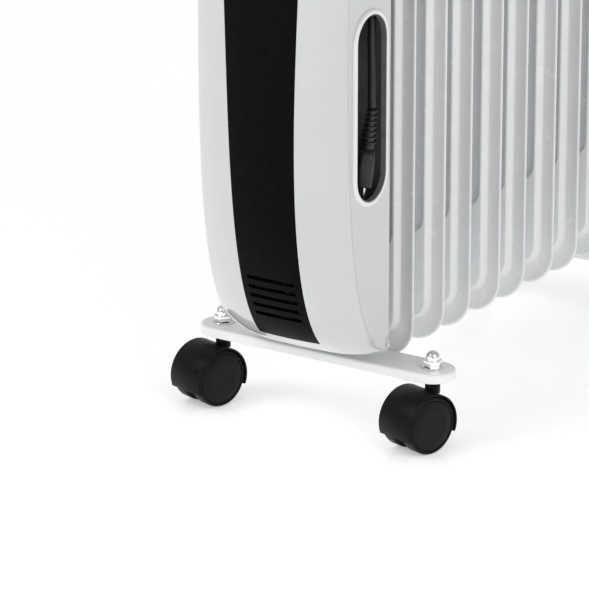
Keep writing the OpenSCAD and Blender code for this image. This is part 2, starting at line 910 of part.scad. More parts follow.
module plug_pins() {
    color("silver") at_plug() for (n = [-1 : 1]) translate([0, n * pin_gap, -pin_len])
        cylinder(d = pin_d, h = pin_len);
}

// ---------- one node at a time, or all ----------

fin(1);  // fin_1
fin(2);  // fin_2
fin(3);  // fin_3
fin(4);  // fin_4
fin(5);  // fin_5
fin(6);  // fin_6
fin(7);  // fin_7
fin(8);  // fin_8
fin(9);  // fin_9
hub_collars();
hub_end_caps();
filler_plug();
heating_element();
element_flange();
front_cover();
centre_band();
side_shell();
slot_rim();
cord_tub();
housing_back();
housing_brackets();
housing_screws();
control_panel();
thermostat_body();
thermostat_knob();
rocker_left();
rocker_right();
pilot_lamp();
thermal_cutout();
terminal_block();
tilt_switch();
wiring();
carry_handle();
handle_screws();
foot_plate(front_plate_y);  // front_foot_plate
foot_plate(rear_plate_y);  // rear_foot_plate
u_bolts();
wing_nuts();
acorn_nuts();
caster_stems();
hood(-1, false);  // hood_front_left
hood(1, false);  // hood_front_right
hood(-1, true);  // hood_rear_left
hood(1, true);  // hood_rear_right
wheels(-1, false);  // wheels_front_left
wheels(1, false);  // wheels_front_right
wheels(-1, true);  // wheels_rear_left
wheels(1, true);  // wheels_rear_right
axle(-1, false);  // axle_front_left
axle(1, false);  // axle_front_right
axle(-1, true);  // axle_rear_left
axle(1, true);  // axle_rear_right
cord_gland();
cord_run();
cord_hank();
cord_tie();
strain_relief();
plug_body();
plug_pins();
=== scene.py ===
# %% [markdown]
# # An oil filled radiator heater
# This lesson dresses a finished mechanical model. The CAD model gives every place and size; here each
# piece that shows gets a finer mesh and a real finish. All lengths are metres, and `MM` turns
# millimetres into them.

# %% Load the frame
import math

import bmesh
import bpy
from mathutils import Matrix, Vector


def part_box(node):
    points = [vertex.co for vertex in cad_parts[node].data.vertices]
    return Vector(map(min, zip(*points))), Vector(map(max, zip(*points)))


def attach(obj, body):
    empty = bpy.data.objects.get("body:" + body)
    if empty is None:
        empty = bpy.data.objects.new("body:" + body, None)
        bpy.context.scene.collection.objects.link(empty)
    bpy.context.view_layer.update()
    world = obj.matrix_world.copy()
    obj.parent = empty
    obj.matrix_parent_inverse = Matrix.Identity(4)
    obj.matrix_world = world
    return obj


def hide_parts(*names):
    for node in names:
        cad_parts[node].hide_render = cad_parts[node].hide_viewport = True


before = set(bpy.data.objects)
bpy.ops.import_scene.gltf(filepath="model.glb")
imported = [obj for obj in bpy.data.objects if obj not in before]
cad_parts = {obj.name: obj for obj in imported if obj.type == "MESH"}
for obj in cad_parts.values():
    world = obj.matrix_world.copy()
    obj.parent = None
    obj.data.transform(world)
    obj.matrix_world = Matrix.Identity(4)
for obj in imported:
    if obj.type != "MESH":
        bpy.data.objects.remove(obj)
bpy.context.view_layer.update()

MM = 0.001

# %% [markdown]
# Places come from the CAD nodes' boxes. Most pieces are drawn from the plane of the first fin, so a
# small function moves a point from there into the frame.

# %% Places that many pieces share
fin_low, fin_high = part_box("fin_1")
next_low, next_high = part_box("fin_2")
FIRST_Y = (fin_low.y + fin_high.y) / 2
PITCH = (next_low.y + next_high.y) / 2 - FIRST_Y
FIN_W = fin_high.x - fin_low.x
FIN_H = fin_high.z - fin_low.z
cover_low, cover_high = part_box("front_cover")
HALF_W = cover_high.x
BACK_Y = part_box("side_shell")[1].y
HOUSE_MID = (cover_low.z + cover_high.z) / 2
HOUSE_H = 552 * MM
FRONT_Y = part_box("centre_band")[0].y
SWEEP = 93 * MM
CORNER_R = 20 * MM
SHEET = 2.3 * MM


def place(x, y, z):
    return Vector((x, FIRST_Y + y, z))


print("first fin", round(FIRST_Y, 4), "pitch", round(PITCH, 4), "fin", round(FIN_W, 4), round(FIN_H, 4))

# %% [markdown]
# The camera stands to the front and right of the heater and looks a little down. It could be aimed
# with a tracking constraint, but fixed angles keep the picture the same when a piece is changed. A
# long lens keeps the upright edges nearly parallel, as a catalogue does.

# %% Camera
AZIMUTH = math.radians(33.628)
ELEVATION = math.radians(18.588)
CAMERA_PLACE = place(1.82139, -2.80299, 1.22051)
camera_data = bpy.data.cameras.new("camera")
camera_data.lens = 272.27
camera_data.sensor_width = 36
camera_data.clip_end = 50
camera = bpy.data.objects.new("camera", camera_data)
camera.location = CAMERA_PLACE
camera.rotation_euler = (math.pi / 2 - ELEVATION, 0, AZIMUTH)
bpy.context.scene.collection.objects.link(camera)
bpy.context.scene.camera = camera
bpy.context.scene.view_settings.view_transform = "Standard"
print("camera", [round(v, 3) for v in camera.location])

# %% [markdown]
# A few helpers make the rest short. `outline` draws a closed ring of points and `loft` extrudes it
# from ring to ring. Bridging finished rings would be shorter, but it can pair the wrong points where
# two rings lie in one plane, while an extrusion always keeps each point with its own. `lathe` spins
# a profile round an axis.

# %% Rings, lofts and lathes
def outline(bm, points):
    verts = [bm.verts.new(p) for p in points]
    edges = [bm.edges.new((verts[i - 1], verts[i])) for i in range(len(verts))]
    return verts, edges


def loft(bm, rings, caps=True):
    verts, edges = outline(bm, rings[0])
    made = [verts]
    for points in rings[1:]:
        grown = bmesh.ops.extrude_edge_only(bm, edges=edges)["geom"]
        fresh = {v for v in grown if isinstance(v, bmesh.types.BMVert)}
        edges = [e for e in grown if isinstance(e, bmesh.types.BMEdge) and fresh.issuperset(e.verts)]
        verts = [next(e.other_vert(v) for e in v.link_edges if e.other_vert(v) in fresh) for v in verts]
        for vert, point in zip(verts, points):
            vert.co = point
        made.append(verts)
    if caps:
        bm.faces.new(made[0])
        bm.faces.new(made[-1])
    return made


def lathe(bm, profile, steps=64, axis=(0, 0, 1), centre=(0, 0, 0)):
    verts = [bm.verts.new(p) for p in profile]
    edges = [bm.edges.new(pair) for pair in zip(verts, verts[1:])]
    bmesh.ops.spin(
        bm, geom=verts + edges, cent=centre, axis=axis, angle=math.tau,
        steps=steps, use_merge=True, use_duplicate=False,
    )
    bmesh.ops.remove_doubles(bm, verts=bm.verts, dist=1e-6)
    bmesh.ops.recalc_face_normals(bm, faces=bm.faces)


def round_rect(w, h, r, steps=8):
    points = []
    for k, (sx, sz) in enumerate(((1, 1), (-1, 1), (-1, -1), (1, -1))):
        for j in range(steps + 1):
            a = math.pi / 2 * (k + j / steps)
            points.append((sx * (w / 2 - r) + r * math.cos(a), sz * (h / 2 - r) + r * math.sin(a)))
    return points


print("corner points", len(round_rect(1, 1, 0.1)))

# %% [markdown]
# Every piece ends the same way. `finish_piece` turns a bmesh into an object at the origin that rides
# on its body and stands for its CAD node. Smooth shading could be left to a modifier, but marking
# the edges sharper than an angle in the mesh keeps the result the same when it is exported.
# `join_parts` adds one bmesh to another, for pieces made of several closed parts.

# %% From bmesh to finished piece
def finish_piece(name, bm, material, replaces=(), body="root", sharp=35):
    mesh = bpy.data.meshes.new(name)
    bmesh.ops.recalc_face_normals(bm, faces=bm.faces)
    bm.to_mesh(mesh)
    bm.free()
    mesh.materials.append(material)
    mesh.polygons.foreach_set("use_smooth", [True] * len(mesh.polygons))
    mesh.set_sharp_from_angle(angle=math.radians(sharp))
    piece = bpy.data.objects.new(name, mesh)
    bpy.context.scene.collection.objects.link(piece)
    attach(piece, body)
    if replaces:
        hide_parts(*replaces)
    return piece


def join_parts(bm, part):
    scrap = bpy.data.meshes.new("scrap")
    part.to_mesh(scrap)
    bm.from_mesh(scrap)
    bpy.data.meshes.remove(scrap)
    part.free()


# %% [markdown]
# Every finish is a Principled shader whose colour, roughness and bump come from noise on Object
# coordinates, so it stays with the piece. A painted image would give the same grain but needs an
# unwrapped mesh, and the noise needs none. A broad noise varies the colour and the roughness, and a
# fine one makes the bump. Values that don't vary are set on the shader itself.

# %% How a finish is made
COAT_ROUGHNESS = 0.06
BUMP_DEPTH = 0.2 * MM
BROAD_SHARE = 12
SMOOTHEST = 0.02


def finish(name, pale, deep, grain, rough, spread, bump,
           metallic=0.0, coat=0.0, stretch=(1, 1, 1), shine=0.5):
    material = bpy.data.materials.new(name)
    material.use_nodes = True
    nodes, links = material.node_tree.nodes, material.node_tree.links
    shader = nodes["Principled BSDF"]
    shader.inputs["Metallic"].default_value = metallic
    shader.inputs["Coat Weight"].default_value = coat
    shader.inputs["Coat Roughness"].default_value = COAT_ROUGHNESS
    shader.inputs["Specular IOR Level"].default_value = shine
    where = nodes.new("ShaderNodeTexCoord")
    turn = nodes.new("ShaderNodeMapping")
    turn.inputs["Scale"].default_value = stretch
    links.new(where.outputs["Object"], turn.inputs["Vector"])
    broad = nodes.new("ShaderNodeTexNoise")
    broad.inputs["Scale"].default_value = grain / BROAD_SHARE
    broad.inputs["Detail"].default_value = 5
    links.new(turn.outputs["Vector"], broad.inputs["Vector"])
    ramp = nodes.new("ShaderNodeValToRGB")
    ramp.color_ramp.elements[0].position = 0.3
    ramp.color_ramp.elements[1].position = 0.7
    ramp.color_ramp.elements[0].color = (*deep, 1)
    ramp.color_ramp.elements[1].color = (*pale, 1)
    links.new(broad.outputs["Fac"], ramp.inputs["Fac"])
    links.new(ramp.outputs["Color"], shader.inputs["Base Color"])
    span = nodes.new("ShaderNodeMapRange")
    span.inputs["To Min"].default_value = max(SMOOTHEST, rough - spread)
    span.inputs["To Max"].default_value = rough + spread
    links.new(broad.outputs["Fac"], span.inputs["Value"])
    links.new(span.outputs["Result"], shader.inputs["Roughness"])
    fine = nodes.new("ShaderNodeTexNoise")
    fine.inputs["Scale"].default_value = grain
    fine.inputs["Detail"].default_value = 3
    links.new(turn.outputs["Vector"], fine.inputs["Vector"])
    relief = nodes.new("ShaderNodeBump")
    relief.inputs["Strength"].default_value = bump
    relief.inputs["Distance"].default_value = BUMP_DEPTH
    links.new(fine.outputs["Fac"], relief.inputs["Height"])
    links.new(relief.outputs["Normal"], shader.inputs["Normal"])
    return material


print("frame materials", len(bpy.data.materials))

# %% [markdown]
# Enamel on steel has a faint orange peel under a clear coat, and the white housing is glossier. The
# blacks are very dark with little shine, because moulded plastic scatters light. Each is one line,
# so that neighbouring finishes are easy to compare.

# %% Enamel, shell and black plastic
fin_enamel = finish("fin_enamel", (.84, .85, .86), (.81, .82, .83), 900, .26, .05, .08, coat=.3)
plate_enamel = finish("plate_enamel", (.90, .91, .92), (.88, .89, .90), 700, .22, .04, .08, coat=.3)
shell_white = finish("shell_white", (.58, .59, .595), (.565, .575, .58), 500, .14, .03, .03, coat=1.0)
rim_white = finish("rim_white", (.80, .805, .81), (.78, .785, .79), 500, .18, .03, .03, coat=.6)
band_black = finish("band_black", (.003, .003, .003), (.0015, .0015, .0015), 2600, .26, .05, .12, shine=.04)
caster_nylon = finish("caster_nylon", (.007, .007, .007), (.004, .004, .004), 1800, .36, .08, .3, shine=.1)
tread_nylon = finish("tread_nylon", (.010, .010, .010), (.006, .006, .006), 1200, .40, .10, .4, shine=.12)
print("white and black", fin_enamel.name, shell_white.name, band_black.name)

# %% [markdown]
# Metal is a Principled shader with full metallic. The nuts are polished, zinc and galvanised parts
# are duller and mottled, and the stems' streaks run along their length.

# %% Metals
chrome = finish("chrome", (.90, .90, .91), (.84, .84, .85), 1500, .07, .03, .03, metallic=1.0)
zinc = finish("zinc", (.66, .67, .68), (.54, .55, .57), 700, .32, .10, .15, metallic=1.0, stretch=(1, 1, .2))
galvanised = finish("galvanised", (.60, .61, .62), (.46, .47, .49), 240, .42, .12, .10, metallic=1.0)
sheath_steel = finish("sheath_steel", (.36, .33, .30), (.22, .20, .18), 600, .45, .12, .2, metallic=1.0)
flange_brass = finish("flange_brass", (.70, .54, .26), (.58, .42, .18), 600, .28, .08, .1, metallic=1.0)
pin_nickel = finish("pin_nickel", (.80, .78, .73), (.70, .68, .62), 900, .18, .06, .05, metallic=1.0)
print("metals", chrome.name, zinc.name, galvanised.name)

# %% [markdown]
# The small parts have their own plastics: rubbery black for the lead and plug, grey for the knob and
# the lead's compartment, a clear-coated red and amber for the switches and the lamp.

# %% Small parts
tub_grey = finish("tub_grey", (.17, .17, .175), (.13, .13, .135), 1500, .45, .08, .3)
lead_black = finish("lead_black", (.012, .012, .012), (.007, .007, .007), 1600, .45, .10, .35)
plug_black = finish("plug_black", (.018, .018, .019), (.011, .011, .011), 1800, .42, .08, .35)
handle_black = finish("handle_black", (.020, .020, .021), (.012, .012, .013), 1500, .45, .08, .5)
knob_grey = finish("knob_grey", (.10, .10, .105), (.075, .075, .08), 1700, .40, .06, .3)
mark_white = finish("mark_white", (.85, .85, .85), (.78, .78, .78), 900, .5, .05, .1)
rocker_red = finish("rocker_red", (.60, .03, .02), (.45, .02, .015), 900, .20, .04, .05, coat=.5)
lamp_amber = finish("lamp_amber", (.90, .38, .05), (.75, .26, .03), 900, .15, .04, .05, coat=.5)
inner_cream = finish("inner_cream", (.60, .55, .46), (.48, .43, .35), 800, .55, .10, .25)
wire_brown = finish("wire_brown", (.10, .05, .02), (.07, .03, .01), 900, .55, .10, .2)
print("finishes", len([m for m in bpy.data.materials if m.use_nodes]))

# %% [markdown]
# ## The mains lead
# The lead leaves a gland at the top of its compartment, is folded into a hank of four turns, and
# hangs from the hank to its plug. Its route repeats the CAD model's: the free stretch is a short
# list of points, rounded by a smooth curve through them, and the hank is worked out as straight runs
# and half circles. The hank could be drawn by hand too, but then its turns wouldn't lie evenly.

# %% Route of the lead
CORD_D = 6.4 * MM
gland_low, gland_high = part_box("cord_gland")
hank_low, hank_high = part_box("cord_hank")
CORD_EXIT = Vector(((gland_low.x + gland_high.x) / 2, (gland_low.y + gland_high.y) / 2, gland_low.z))
FOLD_R = (hank_high.y - hank_low.y - CORD_D) / 2
TURNS = 4
STEPS_A_TURN = 44
SAMPLES = 8
TURN_STEP = (hank_high.x - hank_low.x - CORD_D) / TURNS
RUN_LOW = hank_low.z + CORD_D / 2 + FOLD_R
RUN_HIGH = hank_high.z - CORD_D / 2 - FOLD_R
HANK_Y = (hank_low.y + hank_high.y) / 2
HANK_X = hank_low.x + CORD_D / 2
LEAD_OUT_MM = [
    (56.7, -43.2, 365.1), (57.1, -44.4, 354.1), (57.8, -46.4, 342.1), (59.0, -48.6, 329.1),
    (60.4, -50.6, 316.1), (61.8, -52.3, 304.1), (62.6, -53.4, 292.1), (62.9, -54, 282.1),
    (63.4, -54, 274.7),
]


def smooth_through(points):
    dense = []
    for i in range(len(points) - 1):
        p0, p1, p2 = points[max(i - 1, 0)], points[i], points[i + 1]
        p3 = points[min(i + 2, len(points) - 1)]
        for k in range(SAMPLES):
            t = k / SAMPLES
            dense.append(0.5 * (2 * p1 + (p2 - p0) * t + (2 * p0 - 5 * p1 + 4 * p2 - p3) * t * t
                                + (3 * p1 - p0 - 3 * p2 + p3) * t ** 3))
    return dense + [points[-1]]


def hank_route():
    run = RUN_HIGH - RUN_LOW
    bend = math.pi * FOLD_R
    turn = 2 * (run + bend)
    total = TURNS * turn + run
    steps = TURNS * STEPS_A_TURN
    route = []
    for k in range(steps + 1):
        s = total * k / steps
        along = s % turn
        x = HANK_X + TURN_STEP * TURNS * s / total
        if along < run:
            y, z = FOLD_R, RUN_HIGH - along
        elif along < run + bend:
            a = (along - run) / FOLD_R
            y, z = FOLD_R * math.cos(a), RUN_LOW - FOLD_R * math.sin(a)
        elif along < 2 * run + bend:
            y, z = -FOLD_R, RUN_LOW + along - run - bend
        else:
            a = (along - 2 * run - bend) / FOLD_R
            y, z = -FOLD_R * math.cos(a), RUN_HIGH + FOLD_R * math.sin(a)
        route.append(Vector((x, HANK_Y + y, z)))
    return route


hank = hank_route()
lead_out = [place(x * MM, y * MM, z * MM) for x, y, z in LEAD_OUT_MM]
free_end = smooth_through(hank[-2:] + lead_out)
lead_route = [CORD_EXIT, CORD_EXIT.lerp(hank[0], 0.5)] + hank + free_end[SAMPLES + 1:]

# %% [markdown]
# The lead is a round rubber sleeve of one thickness. A poly curve with a round bevel gives exactly
# that, and stays easy to bend again, while a swept mesh would have to be rebuilt.

# %% The lead's tube
lead_curve = bpy.data.curves.new("mains_lead", "CURVE")
lead_curve.dimensions = "3D"
lead_curve.bevel_depth = CORD_D / 2
lead_curve.bevel_resolution = 5
lead_curve.use_fill_caps = True
lead_spline = lead_curve.splines.new("POLY")
lead_spline.points.add(len(lead_route) - 1)
for point, where in zip(lead_spline.points, lead_route):
    point.co = (*where, 1)
lead_spline.use_smooth = True
lead_curve.materials.append(lead_black)
mains_lead = bpy.data.objects.new("mains_lead", lead_curve)
bpy.context.scene.collection.objects.link(mains_lead)
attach(mains_lead, "root")
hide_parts("cord_run", "cord_hank")
print("points along the lead", len(lead_route))

# %% [markdown]
# The strain relief is a ribbed, tapered rubber sleeve that keeps the lead from kinking at the plug.
# Rings could be added one by one, but one profile with a groove between each pair of ribs, spun
# round the lead's end, gives the ribs and the taper together. It is drawn upright at the origin and
# then moved to where the plug hangs.

# %% Strain relief
PLUG_END = place(56 * MM, -54 * MM, 214.1 * MM)
PLUG_LEAN, PLUG_TURN = math.radians(7), math.radians(33)
PLUG_PLACE = (Matrix.Translation(PLUG_END) @ Matrix.Rotation(PLUG_LEAN, 4, "Y")
              @ Matrix.Rotation(PLUG_TURN, 4, "Z"))
PLUG_LONG = 28 * MM
RELIEF_LONG = 33 * MM
COLLAR_R, COLLAR_H = 5.2 * MM, 5 * MM
FIRST_RIB_R, RIB_TAPER, GROOVE = 6.4, 0.38, 1.9 * MM
RIBS = 7


def strain_relief():
    bm = bmesh.new()
    base, top = PLUG_LONG - 1 * MM, PLUG_LONG + RELIEF_LONG
    profile = [(0, 0, base), (COLLAR_R, 0, base), (COLLAR_R, 0, base + COLLAR_H)]
    step = (top - base - COLLAR_H) / RIBS
    for n in range(RIBS):
        z = base + COLLAR_H + n * step
        r = (FIRST_RIB_R - RIB_TAPER * n) * MM
        profile += [
            (r - GROOVE, 0, z + 0.1 * step), (r - 0.3 * MM, 0, z + 0.18 * step),
            (r, 0, z + 0.36 * step),
            (r - 0.3 * MM, 0, z + 0.56 * step), (r - GROOVE, 0, z + 0.66 * step),
        ]
    profile += [(3.5 * MM, 0, top), (3.2 * MM, 0, top), (0, 0, top)]
    lathe(bm, profile, steps=32)
    bmesh.ops.transform(bm, matrix=PLUG_PLACE, verts=bm.verts)
    return finish_piece("ribbed_strain_relief", bm, plug_black, ("strain_relief",))


relief_piece = strain_relief()
print("strain relief faces", len(relief_piece.data.polygons))

# %% [markdown]
# The plug's case is moulded round its pins: a flat block with round corners that narrows towards the
# lead, and three grip bars on each broad face. A bevelled box would keep the same corner all along,
# so rounded rectangles of changing size are lofted instead. Each section is a height, a width, a
# thickness and a corner radius in millimetres.

# %% Plug case
GRIP_OUT = 5.95 * MM


def plug_case():
    bm = bmesh.new()
    sections = [
        (0, 24, 10.5, 2.5), (0.8, 25.6, 12.1, 3), (9, 26, 12.5, 3), (22, 25.4, 12.3, 3),
        (26, 22, 11.8, 3.4), (28, 17, 10.6, 3.6),
    ]
    loft(bm, [
        [(py, px, z * MM) for px, py in round_rect(w * MM, t * MM, r * MM, 5)] for z, w, t, r in sections
    ])
    for n in range(3):
        for side in (-1, 1):
            bar = bmesh.ops.create_cube(bm, size=1)["verts"]
            bmesh.ops.scale(bm, vec=(0.8 * MM, 15 * MM, 1.6 * MM), verts=bar)
            bmesh.ops.translate(bm, vec=(side * GRIP_OUT, 0, (8 + 4 * n) * MM), verts=bar)
    bmesh.ops.transform(bm, matrix=PLUG_PLACE, verts=bm.verts)
    return finish_piece("plug_case", bm, plug_black, ("plug_body",), sharp=40)


plug_piece = plug_case()
print("plug faces", len(plug_piece.data.polygons))

# %% [markdown]
# Three round pins in a row point down from the case. Each is a turned rod with a rounded tip, so a
# spun profile suits it better than a bevelled cylinder.

# %% Plug pins
PIN_LONG, PIN_R, PIN_APART = 19 * MM, 2 * MM, 9.5 * MM


def plug_pin_set():
    bm = bmesh.new()
    r = PIN_R
    for n in (-1, 0, 1):
        pin = bmesh.new()
        lathe(pin, [(0, 0, -PIN_LONG), (0.6 * r, 0, -PIN_LONG), (0.9 * r, 0, 0.3 * r - PIN_LONG),
                    (r, 0, r - PIN_LONG), (r, 0, 1 * MM), (0, 0, 1 * MM)], steps=24)
        bmesh.ops.translate(pin, vec=(0, n * PIN_APART, 0), verts=pin.verts)
        bmesh.ops.transform(pin, matrix=PLUG_PLACE, verts=pin.verts)
        join_parts(bm, pin)
    return finish_piece("round_plug_pins", bm, pin_nickel, ("plug_pins",))


pins_piece = plug_pin_set()
print("plug at", [round(v, 3) for v in PLUG_END])

# %% [markdown]
# ## Fins
# Each fin is two pressed sheets, folded together at a hemmed edge, with oil in the channels between
# them. A displaced grid would blur the pressed shoulders, so one half is drawn flat: the gap between
# the outer ring and the channels' outline is bridged, the channels are filled round their two
# windows, and then raised by insets that climb in steps.

# %% One half of a fin
FIN_COUNT = 9
FLANGE_W, FLANGE_END = 11 * MM, 15 * MM
CHANNEL_W, MIDDLE_W, HEADER_H = 9.6 * MM, 24 * MM, 77 * MM
FIN_R = 28 * MM
HEM = [(2.4, 0.45), (2.1, 0.75), (1.2, 0.8), (0.4, 0.62), (0.0, 0.22)]
SHOULDER = [(0.5, 0.0), (0.8, 0.5), (1.0, 2.0), (0.9, 1.9), (0.8, 0.9), (0.5, 0.15), (0.3, 0.0)]


def fin_half(bm, side):
    """One sheet of a fin, in the plane y = 0, raised towards y = -side."""
    before = set(bm.faces)
    y = -side * HEM[0][1] * MM
    rings = {}
    window_w = (FIN_W - 2 * FLANGE_W - 2 * CHANNEL_W - MIDDLE_W) / 2
    window_h = FIN_H - 2 * (FLANGE_END + HEADER_H)
    hem = 2 * HEM[0][0] * MM
    sizes = {
        "edge": (0, FIN_W - hem, FIN_H - hem, FIN_R - hem / 2, 8),
        "foot": (0, FIN_W - 2 * FLANGE_W, FIN_H - 2 * FLANGE_END, FIN_R - 9 * MM, 8),
        "left": (-(MIDDLE_W + window_w) / 2, window_w, window_h, 10 * MM, 6),
        "right": ((MIDDLE_W + window_w) / 2, window_w, window_h, 10 * MM, 6),
    }
    for key, (cx, w, h, r, steps) in sizes.items():
        rings[key] = outline(bm, [(cx + px, y, pz) for px, pz in round_rect(w, h, r, steps)])
    bmesh.ops.bridge_loops(bm, edges=rings["edge"][1] + rings["foot"][1])
    for key in ("left", "right"):
        bm.faces.new(rings[key][0])
    channels = bmesh.ops.triangle_fill(
        bm, use_beauty=True, edges=rings["foot"][1] + rings["left"][1] + rings["right"][1],
        normal=(0, -side, 0),
    )
    raised = [f for f in channels["geom"] if isinstance(f, bmesh.types.BMFace)]
    for face in set(bm.faces) - before:
        face.normal_update()
        if face.normal.y * side > 0:
            face.normal_flip()
    for width, rise in SHOULDER:
        bmesh.ops.inset_region(
            bm, faces=raised, use_boundary=True, use_even_offset=True,
            thickness=width * MM, depth=rise * MM,
        )


print("fin shoulder", round(sum(rise for _, rise in SHOULDER), 2), "mm high")

# %% [markdown]
# Both halves go into one mesh, and rings lofted round the edge make the rounded hem that closes it.
# The shared points are merged, so that the fin is one closed skin, and every fin is made again in
# its own place because each one is a separate part.

# %% Nine fins
def fin_piece(name):
    low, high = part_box(name)
    bm = bmesh.new()
    fin_half(bm, 1)
    fin_half(bm, -1)
    rings = []
    for side, steps in ((-1, HEM), (1, HEM[::-1])):
        for inset, y in steps:
            size = 2 * inset * MM
            rings.append([
                (px, side * y * MM, pz)
                for px, pz in round_rect(FIN_W - size, FIN_H - size, FIN_R - size / 2)
            ])
    loft(bm, rings, caps=False)
    bmesh.ops.remove_doubles(bm, verts=bm.verts, dist=1e-5)
    bmesh.ops.translate(bm, vec=(low + high) / 2, verts=bm.verts)
    return finish_piece("pressed_" + name, bm, fin_enamel, (name,), sharp=50)


fins = [fin_piece(f"fin_{n}") for n in range(1, FIN_COUNT + 1)]
print("fin faces", len(fins[0].data.polygons))

# %% [markdown]
# ## Housing
# The cover is a moulded shell. Seen from the side it follows a curve between an ellipse and a
# rectangle, and its edges lie a little behind its middle. A subdivided cage could come near it, but
# the CAD model has a formula for this curve, and the same formula keeps the two together. `skin`
# gives the point at a width and at an angle round the curve.

# %% The housing's curve
BOTTOM = HOUSE_MID - HOUSE_H / 2
TOP = HOUSE_MID + HOUSE_H / 2
CURVE_POWER = 2 / 3
CROWN_POWER = 2.3
COVER_CROWN = 18.3 * MM
EDGE_R = 3 * MM
SIDE_LIFT = 8 * MM


def angle_at(z):
    share = min(1, abs(z - HOUSE_MID) / (HOUSE_H / 2))
    return math.copysign(math.asin(share ** (1 / CURVE_POWER)), z - HOUSE_MID)


def skin(x, a):
    c = max(0.0, math.cos(a)) ** CURVE_POWER
    y = FRONT_Y + SWEEP * (1 - c) + COVER_CROWN * c * (abs(x) / HALF_W) ** CROWN_POWER
    z = (HOUSE_H / 2 - SIDE_LIFT * (abs(x) / HALF_W) ** 4) * abs(math.sin(a)) ** CURVE_POWER
    y = min(y, BACK_Y)
    rear = y - (BACK_Y - CORNER_R)
    if rear > 0:
        z = min(z, HOUSE_H / 2 - CORNER_R + math.sqrt(max(0, CORNER_R ** 2 - rear ** 2)))
    return Vector((x, y, HOUSE_MID + math.copysign(z, a)))


print("middle of the curve", [round(v, 4) for v in skin(0, 0)])

# %% [markdown]
# The black band widens from a waist near the foot, and its upper part has an opening with round
# corners for the control panel, which leans back. The opening's edge is found row by row on the
# curved skin: a boolean cut would leave long thin faces there.

# %% The band's edge and the panel's opening
BAND_LOW = BOTTOM + 16 * MM
BAND_GAP = 0.25 * MM
WAIST_HALF, WAIST_UP, FLARE = 28 * MM, 33 * MM, 0.078
PANEL_Z = TOP - 98 * MM
PANEL_TILT = math.radians(12)
PANEL_DEPTH = 9.4 * MM
PANEL_HALF, PANEL_TALL, PANEL_R = 31.2 * MM, 64.2 * MM, 14.2 * MM
PANEL_SEARCH = 90 * MM


def band_half(z):
    return WAIST_HALF + FLARE * (z - BOTTOM - WAIST_UP) ** 2


def panel_height(a):
    on_line, middle = skin(0, a), skin(0, angle_at(PANEL_Z))
    return ((on_line.z - PANEL_Z) * math.cos(PANEL_TILT)
            + (on_line.y - middle.y - PANEL_DEPTH) * math.sin(PANEL_TILT))


def panel_half(a):
    past = abs(panel_height(a)) - (PANEL_TALL - PANEL_R)
    if past <= 0:
        return PANEL_HALF
    return PANEL_HALF - PANEL_R + math.sqrt(max(0, PANEL_R ** 2 - min(past, PANEL_R) ** 2))


def panel_row(height):
    low, high = angle_at(PANEL_Z - PANEL_SEARCH), angle_at(PANEL_Z + PANEL_SEARCH)
    for _ in range(40):
        middle = (low + high) / 2
        low, high = (middle, high) if panel_height(middle) < height else (low, middle)
    return low


print("panel rows", round(panel_row(-PANEL_TALL), 3), round(panel_row(PANEL_TALL), 3))

# %% [markdown]
# The skin is a flat grid mapped on to the curve. Rows come every degree at the ends, where the curve
# turns fast, and every two and a half between them, and each edge that has to be crisp adds a row of
# its own. Cells are then cut away for openings, and the sheet gets its wall.

# %% Grids on the curve
ROW_APART = 0.006


def curve_rows(extra, low=-90):
    ends = range(71, 91)
    degrees = [-a for a in ends] + [-70 + 2.5 * k for k in range(57)] + list(ends)
    rows = [math.radians(a) for a in degrees if low < a < 90]
    rows = [a for a in rows if all(abs(a - e) > ROW_APART for e in extra)]
    return sorted(rows + list(extra))


def mapped_grid(columns, rows, to_point):
    bm = bmesh.new()
    bmesh.ops.create_grid(bm, x_segments=columns, y_segments=len(rows) - 1, size=1)
    last = len(rows) - 1
    places = {}
    for vert in bm.verts:
        places[vert] = (round((vert.co.x + 1) / 2 * columns), round((vert.co.y + 1) / 2 * last))
    for vert, (i, j) in places.items():
        vert.co = to_point(i, rows[j])
    return bm, places


def cut_cells(bm, places, unwanted):
    gone = []
    for face in bm.faces:
        cells = [places[v] for v in face.verts]
        i, j = min(c[0] for c in cells), min(c[1] for c in cells)
        if unwanted(i, j):
            gone.append(face)
    bmesh.ops.delete(bm, geom=gone, context="FACES")


def give_wall(bm, thickness):
    """Thickens a sheet to its inner side, the one that doesn't bring it further forward."""
    bmesh.ops.remove_doubles(bm, verts=bm.verts, dist=2e-6)
    bmesh.ops.recalc_face_normals(bm, faces=bm.faces)
    front = min(v.co.y for v in bm.verts)
    trial = bm.copy()
    bmesh.ops.solidify(trial, geom=trial.faces[:], thickness=thickness)
    if min(v.co.y for v in trial.verts) < front - 0.1 * MM:
        thickness = -thickness
    trial.free()
    bmesh.ops.solidify(bm, geom=bm.faces[:], thickness=thickness)


print("rows on the whole curve", len(curve_rows([])))

# %% [markdown]
# The white cover is the outer frame round the band: two sides joined by a foot. Its columns run from
# the band's edge to the corner, and the last few follow a small curve round that corner. A bevel
# would do this on an even box, but the corner's angle changes all along the curve.

# %% White cover
MIDDLE_COLUMN, SIDE_COLUMNS, EDGE_COLUMNS = 18, 14, 4
EDGE_BACK = 0.6 * EDGE_R


